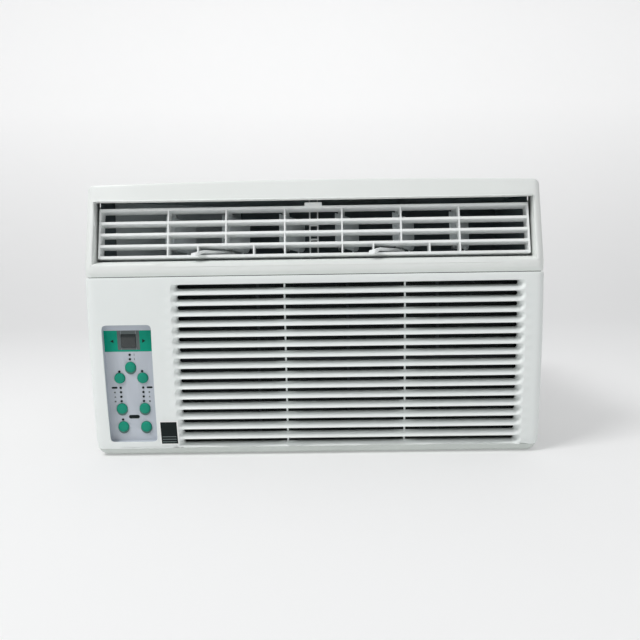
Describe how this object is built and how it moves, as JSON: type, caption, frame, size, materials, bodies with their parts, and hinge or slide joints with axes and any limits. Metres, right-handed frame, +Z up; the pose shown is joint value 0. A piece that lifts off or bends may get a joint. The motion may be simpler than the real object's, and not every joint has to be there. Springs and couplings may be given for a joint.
{
  "type": "window air conditioner",
  "caption": "Window air conditioner: louvred outlet with swinging vanes, hinged intake grille with push buttons, and the blower and refrigeration circuit in a steel cabinet.",
  "frame": {"origin": "bottom centre of the bounding box, on the surface the base pan rests on", "axes": "+Z up, front (room side) towards -Y, +X to the right of someone facing the front; the width along X is the longest side"},
  "size_m": [0.6, 0.56, 0.372],
  "materials": {
    "case_white": "fine satin grain",
    "grille_white": "satin",
    "vane_grey": "satin",
    "fascia_grey": "satin",
    "key_green": "satin",
    "display_dark": "smoked gloss",
    "board_green": "solder mask",
    "cabinet_grey": "powder coat",
    "zinc_sheet": "galvanised",
    "foam_black": "expanded foam",
    "coil_aluminium": "bright fins",
    "copper": "drawn copper",
    "enamel_black": "black enamel",
    "dark_plastic": "moulded",
    "motor_grey": "painted",
    "shaft_steel": "ground",
    "rubber": "moulded",
    "filter_grey": "fine net in a frame"
  },
  "bodies": {
    "casing": {"front_frame": "case_white", "centre_support": "case_white", "control_fascia": "fascia_grey", "display_window": "display_dark", "control_board": "board_green", "cabinet_shell": "cabinet_grey", "rear_guard": "cabinet_grey", "base_pan": "zinc_sheet", "bulkhead": "zinc_sheet", "motor_bracket": "zinc_sheet", "condenser_shroud": "zinc_sheet", "control_box": "zinc_sheet", "air_duct_floor": "foam_black", "air_duct_lid": "foam_black", "air_duct_walls": "foam_black", "drain_pan": "foam_black", "evaporator_coil": "coil_aluminium", "condenser_coil": "coil_aluminium", "suction_tube": "copper", "accumulator_outlet_tube": "copper", "discharge_tube": "copper", "liquid_tube": "copper", "filter_drier": "copper", "compressor": "enamel_black", "accumulator": "enamel_black", "blower_housing": "dark_plastic", "blower_inlet_ring": "dark_plastic", "terminal_cover": "dark_plastic", "cord_gland": "dark_plastic", "fan_motor": "motor_grey", "run_capacitor": "shaft_steel", "room_thermistor": "shaft_steel", "cabinet_screw_left": "shaft_steel", "cabinet_screw_right": "shaft_steel", "compressor_grommet_1": "rubber", "compressor_grommet_2": "rubber", "compressor_grommet_3": "rubber"},
    "intake_door": {"intake_panel": "grille_white", "air_filter": "filter_grey"},
    "louvres": {"louvre_frame": "grille_white"},
    "fan_rotor": {"fan_shaft": "shaft_steel", "blower_wheel": "dark_plastic", "condenser_fan": "dark_plastic"},
    "vane_left_middle": {"vane_left_middle": "vane_grey", "lever_left": "grille_white"},
    "vane_left_inner": {"vane_left_inner": "vane_grey"},
    "vane_left_outer": {"vane_left_outer": "vane_grey"},
    "link_left": {"link_bar_left": "vane_grey"},
    "vane_right_middle": {"vane_right_middle": "vane_grey", "lever_right": "grille_white"},
    "vane_right_inner": {"vane_right_inner": "vane_grey"},
    "vane_right_outer": {"vane_right_outer": "vane_grey"},
    "link_right": {"link_bar_right": "vane_grey"},
    "button_top": {"button_top": "key_green"},
    "button_upper_left": {"button_upper_left": "key_green"},
    "button_upper_right": {"button_upper_right": "key_green"},
    "button_middle_left": {"button_middle_left": "key_green"},
    "button_middle_right": {"button_middle_right": "key_green"},
    "button_lower_left": {"button_lower_left": "key_green"},
    "button_lower_right": {"button_lower_right": "key_green"}
  },
  "joints": [
    {"name": "intake_door_hinge", "type": "hinge", "parent": "casing", "child": "intake_door", "pos_m": [0, -0.25568, 0.018], "axis": [1, 0, 0], "range_deg": [0, 60]},
    {"name": "louvre_tilt", "type": "hinge", "parent": "casing", "child": "louvres", "pos_m": [0, -0.2465, 0.3001], "axis": [1, 0, 0], "range_deg": [-12, 12]},
    {"name": "fan_spin", "type": "hinge", "parent": "casing", "child": "fan_rotor", "pos_m": [0.04, 0, 0.155], "axis": [0, 1, 0], "continuous": true},
    {"name": "vane_left_middle_hinge", "type": "hinge", "parent": "louvres", "child": "vane_left_middle", "pos_m": [-0.116, -0.22112, 0.29447], "axis": [0, 0.2164, 0.9763], "range_deg": [0, 80]},
    {"name": "vane_left_inner_hinge", "type": "hinge", "parent": "louvres", "child": "vane_left_inner", "pos_m": [-0.038, -0.22112, 0.29447], "axis": [0, 0.2164, 0.9763], "range_deg": [0, 80]},
    {"name": "vane_left_outer_hinge", "type": "hinge", "parent": "louvres", "child": "vane_left_outer", "pos_m": [-0.193, -0.22112, 0.29447], "axis": [0, 0.2164, 0.9763], "range_deg": [0, 80]},
    {"name": "link_left_hinge", "type": "hinge", "parent": "vane_left_middle", "child": "link_left", "pos_m": [-0.09993, -0.20242, 0.29033], "axis": [0, 0.2164, 0.9763], "range_deg": [-80, 0]},
    {"name": "vane_right_middle_hinge", "type": "hinge", "parent": "louvres", "child": "vane_right_middle", "pos_m": [0.116, -0.22112, 0.29447], "axis": [0, 0.2164, 0.9763], "range_deg": [0, 80]},
    {"name": "vane_right_inner_hinge", "type": "hinge", "parent": "louvres", "child": "vane_right_inner", "pos_m": [0.038, -0.22112, 0.29447], "axis": [0, 0.2164, 0.9763], "range_deg": [0, 80]},
    {"name": "vane_right_outer_hinge", "type": "hinge", "parent": "louvres", "child": "vane_right_outer", "pos_m": [0.193, -0.22112, 0.29447], "axis": [0, 0.2164, 0.9763], "range_deg": [0, 80]},
    {"name": "link_right_hinge", "type": "hinge", "parent": "vane_right_middle", "child": "link_right", "pos_m": [0.13207, -0.20242, 0.29033], "axis": [0, 0.2164, 0.9763], "range_deg": [-80, 0]},
    {"name": "button_top_press", "type": "slide", "parent": "casing", "child": "button_top", "axis": [0, 0.9935, 0.1136], "range_m": [0, 0.001], "stiffness_N_per_m": 800, "springref_m": -0.0005},
    {"name": "button_upper_left_press", "type": "slide", "parent": "casing", "child": "button_upper_left", "axis": [0, 0.9935, 0.1136], "range_m": [0, 0.001], "stiffness_N_per_m": 800, "springref_m": -0.0005},
    {"name": "button_upper_right_press", "type": "slide", "parent": "casing", "child": "button_upper_right", "axis": [0, 0.9935, 0.1136], "range_m": [0, 0.001], "stiffness_N_per_m": 800, "springref_m": -0.0005},
    {"name": "button_middle_left_press", "type": "slide", "parent": "casing", "child": "button_middle_left", "axis": [0, 0.9935, 0.1136], "range_m": [0, 0.001], "stiffness_N_per_m": 800, "springref_m": -0.0005},
    {"name": "button_middle_right_press", "type": "slide", "parent": "casing", "child": "button_middle_right", "axis": [0, 0.9935, 0.1136], "range_m": [0, 0.001], "stiffness_N_per_m": 800, "springref_m": -0.0005},
    {"name": "button_lower_left_press", "type": "slide", "parent": "casing", "child": "button_lower_left", "axis": [0, 0.9935, 0.1136], "range_m": [0, 0.001], "stiffness_N_per_m": 800, "springref_m": -0.0005},
    {"name": "button_lower_right_press", "type": "slide", "parent": "casing", "child": "button_lower_right", "axis": [0, 0.9935, 0.1136], "range_m": [0, 0.001], "stiffness_N_per_m": 800, "springref_m": -0.0005}
  ],
  "couplings": [
    {"joint": "vane_left_inner_hinge", "follows": "vane_left_middle_hinge", "ratio": 1},
    {"joint": "vane_left_outer_hinge", "follows": "vane_left_middle_hinge", "ratio": 1},
    {"joint": "link_left_hinge", "follows": "vane_left_middle_hinge", "ratio": -1},
    {"joint": "vane_right_inner_hinge", "follows": "vane_right_middle_hinge", "ratio": 1},
    {"joint": "vane_right_outer_hinge", "follows": "vane_right_middle_hinge", "ratio": 1},
    {"joint": "link_right_hinge", "follows": "vane_right_middle_hinge", "ratio": -1}
  ]
}
